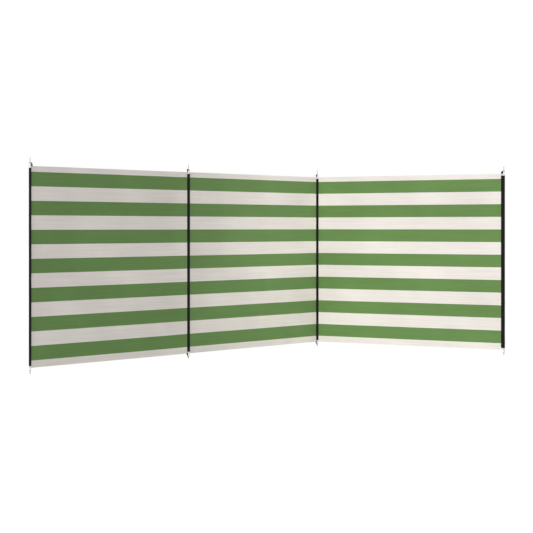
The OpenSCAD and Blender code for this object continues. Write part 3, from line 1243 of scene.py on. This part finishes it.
print("a binding has", len(binding_row(3, 3)), "stitches on each face")

# %% Seams of the bays
# How far in front of the cloth's middle, or behind it, each kind of stitch lies
BARE_CLOTH = CLOTH_T / 2 + 0.08 * MM
HEM_BACK = 0.75 * MM
PATCH_EDGE = 1.08 * MM
PATCH_MIDDLE = 0.74 * MM
BINDING_FACE = 0.72 * MM
SQUARE_INSET = 2.5 * MM
CROSS_INSET = 6 * MM
seams = {i: [] for i in BAYS}


def sew_on_bay(i, name, laid, normal, material):
    seams[i].append(sew(name, laid, normal, bay_matrix(i), material, SPAN_OF_BAY[i]))


for i in BAYS:
    rows = list(hem_rows())
    square = on_cloth(i, patch_rows(SQUARE_INSET, False), -PATCH_EDGE)
    cross = on_cloth(i, patch_rows(CROSS_INSET, True), -PATCH_MIDDLE)
    for name, laid, normal in (
        ("hem_stitches_front", on_cloth(i, rows, -BARE_CLOTH), FRONT),
        ("hem_stitches_back", on_cloth(i, rows, HEM_BACK), BACK),
        ("patch_stitches", square + cross, FRONT),
    ):
        sew_on_bay(i, f"bay_{i}_{name}", laid, normal, cream_thread)
for (i, pole), binding in bindings.items():
    for side, normal in (("front", FRONT), ("back", BACK)):
        laid = on_cloth(i, binding_row(i, pole), normal.y * BINDING_FACE)
        name = f"{binding.name}_stitches_{side}"
        sew_on_bay(i, name, laid, normal, black_thread)
print("seams made:", sum(len(seam.data.polygons) for i in BAYS for seam in seams[i]), "faces")

# %% [markdown]
# The sleeves have their own seams: a ring of stitches in each mouth's hem, and two rows down the tails
# of the end poles, on the side away from the cloth. The straps are stitched in a ring about the eyelet.

# %% Seams of the sleeves and straps
MOUTH_SEW = 6.5 * MM
MOUTH_STITCHES = 16
TAIL_FACE = 2 * MM
TAIL_SEW = (sleeve_r + 4 * MM, TAIL_END - 2.5 * MM)
TAIL_SEW_FROM = sleeve_low.z + 3 * MM
TAIL_SEW_TO = sleeve_high.z - 3 * MM
EYELET_STITCHES = 13
EYELET_SEW_R = EYELET_R + 0.85 * MM
sleeve_seams = {i: [] for i in POLES}


def ring(radius, z, count):
    """Stitches in a level ring, as (middle, direction)."""
    for k in range(count):
        turn = 2 * math.pi * (k + 0.5) / count
        x, y = math.cos(turn), math.sin(turn)
        yield Vector((radius * x, radius * y, z)), Vector((-y, x, 0))


def away_from_pole(middle):
    return Vector((middle.x, middle.y, 0)).normalized()


def sew_on_pole(i, name, stitches, outwards, body):
    return sew(name, stitches, outwards, pole_matrix(i), black_thread, body)


def sew_sleeve(i, kind, stitches, outwards):
    name, body = f"sleeve_{i}_{kind}_stitches", SPAN_OF_POLE[i]
    sleeve_seams[i].append(sew_on_pole(i, name, stitches, outwards, body))


for i in POLES:
    radius = sleeve_r + 0.5 * FULLNESS[i] - 0.05 * MM
    stitches = [
        stitch
        for z in (sleeve_low.z + MOUTH_SEW, sleeve_high.z - MOUTH_SEW)
        for stitch in ring(radius, z, MOUTH_STITCHES)
    ]
    sew_sleeve(i, "mouth", stitches, away_from_pole)
for i in END_POLES:
    stitches = []
    for x in TAIL_SEW:
        stitches += row((x, TAIL_FACE, TAIL_SEW_FROM), (x, TAIL_FACE, TAIL_SEW_TO), BINDING_PITCH)
    sew_sleeve(i, "tail", stitches, BACK)
for (where, pole), strap in straps.items():
    edge, outwards = EDGE[where]
    z = edge + outwards * (crown + LIFT[pole] + WEB_SHOW_T + 0.02 * MM)
    stitches = ring(EYELET_SEW_R, z, EYELET_STITCHES)
    name, up = f"{strap.name}_eyelet_stitches", Vector((0, 0, outwards))
    sew_on_pole(pole, name, stitches, up, BODY_OF_STRAP[pole])
print("pole seams made")

# %% [markdown]

# %% [markdown]
# The photograph has a plain white ground. Light Path tells the rays that look, or that see the place
# mirrored in steel, from the rays that light the cloth. Only the first kind gets the pure white, so the
# background costs the cloth no colour. On the floor the white is added to a weak diffuse share, and
# that share keeps the object's soft shadow.


# %% Rays that look
def looking_ray(tree):
    """1 for a ray from the camera or off metal or glass, and 0 for a ray that carries light."""
    path = add_node(tree, "LightPath").outputs
    either = calculate(tree, "MAXIMUM", path["Is Camera Ray"], path["Is Glossy Ray"])
    return calculate(tree, "MAXIMUM", either, path["Is Transmission Ray"])


# %% Floor
FLOOR_SIDE = 120
FLOOR_GREY = (0.88, 0.88, 0.88, 1)
FLOOR_WHITE_SHARE = 0.8
FLOOR_WHITE_STRENGTH = 1.16

bpy.ops.mesh.primitive_plane_add(size=FLOOR_SIDE, location=(0, 0, 0))
floor = new_piece("floor")
floor_white, tree, shader = new_material(
    "floor_white", Base_Color=FLOOR_GREY, Roughness=0.9, Specular_IOR_Level=0
)
white = add_node(tree, "Emission", {"Strength": FLOOR_WHITE_STRENGTH}).outputs["Emission"]
share = calculate(tree, "MULTIPLY", looking_ray(tree), FLOOR_WHITE_SHARE)
mix = add_node(tree, "MixShader", {0: share, 1: shader.outputs["BSDF"], 2: white})
feed(tree, tree.nodes["Material Output"].inputs["Surface"], mix.outputs["Shader"])
paint(floor, floor_white)
print("floor made")

# %% [markdown]
# In the picture the last bay is half as bright again as the first two, with no hard shadow anywhere.
# A wide soft sun from the left and a little from the front does that: it meets the last bay nearly
# square on and the first two at a slant. The world fills the rest evenly. In the picture the bright
# last bay throws light back on the second one, and a soft lamp with a narrow beam adds to that.

# %% World and sun
WORLD_LIGHT = 0.5
WHITE = (1, 1, 1, 1)
SUN_TURN = math.radians(14)
SUN_HEIGHT = math.radians(20)
SUN_LEVEL = 0.545
SUN_WIDTH = math.radians(40)
SUN_AWAY = 6

world = bpy.data.worlds.new("studio")
bpy.context.scene.world = world
world.use_nodes = True
tree = world.node_tree
background = tree.nodes["Background"].inputs
feed(tree, background["Color"], WHITE)
feed(tree, background["Strength"], map_range(tree, looking_ray(tree), (WORLD_LIGHT, 1)))

level_part = math.cos(SUN_HEIGHT)
to_sun = Vector(
    (-level_part * math.cos(SUN_TURN), -level_part * math.sin(SUN_TURN), math.sin(SUN_HEIGHT))
)
bpy.ops.object.light_add(type="SUN", location=to_sun * SUN_AWAY)
sun = bpy.context.object
sun.name = "soft_sun"
sun.data.energy = SUN_LEVEL * math.pi
sun.data.angle = SUN_WIDTH
sun.rotation_euler = (-to_sun).to_track_quat("-Z", "Y").to_euler()
print("sun made")

# %% Lamp at the corner
FILL_AT = Vector((pole_at[3].x - 0.3, -3.5, 2.6))
FILL_AIM = Vector((pole_at[3].x - 0.45, 0, 0.9))
FILL_POWER = 2.7
FILL_SIZE = 0.8
FILL_BEAM = math.radians(45)

bpy.ops.object.light_add(type="AREA", location=FILL_AT)
fill = bpy.context.object
fill.name = "corner_fill"
fill.data.energy = FILL_POWER
fill.data.size = FILL_SIZE
fill.data.spread = FILL_BEAM
fill.rotation_euler = (FILL_AIM - FILL_AT).to_track_quat("-Z", "Y").to_euler()
print("lamp made")

# %% Colours as written
bpy.context.scene.view_settings.view_transform = "Standard"
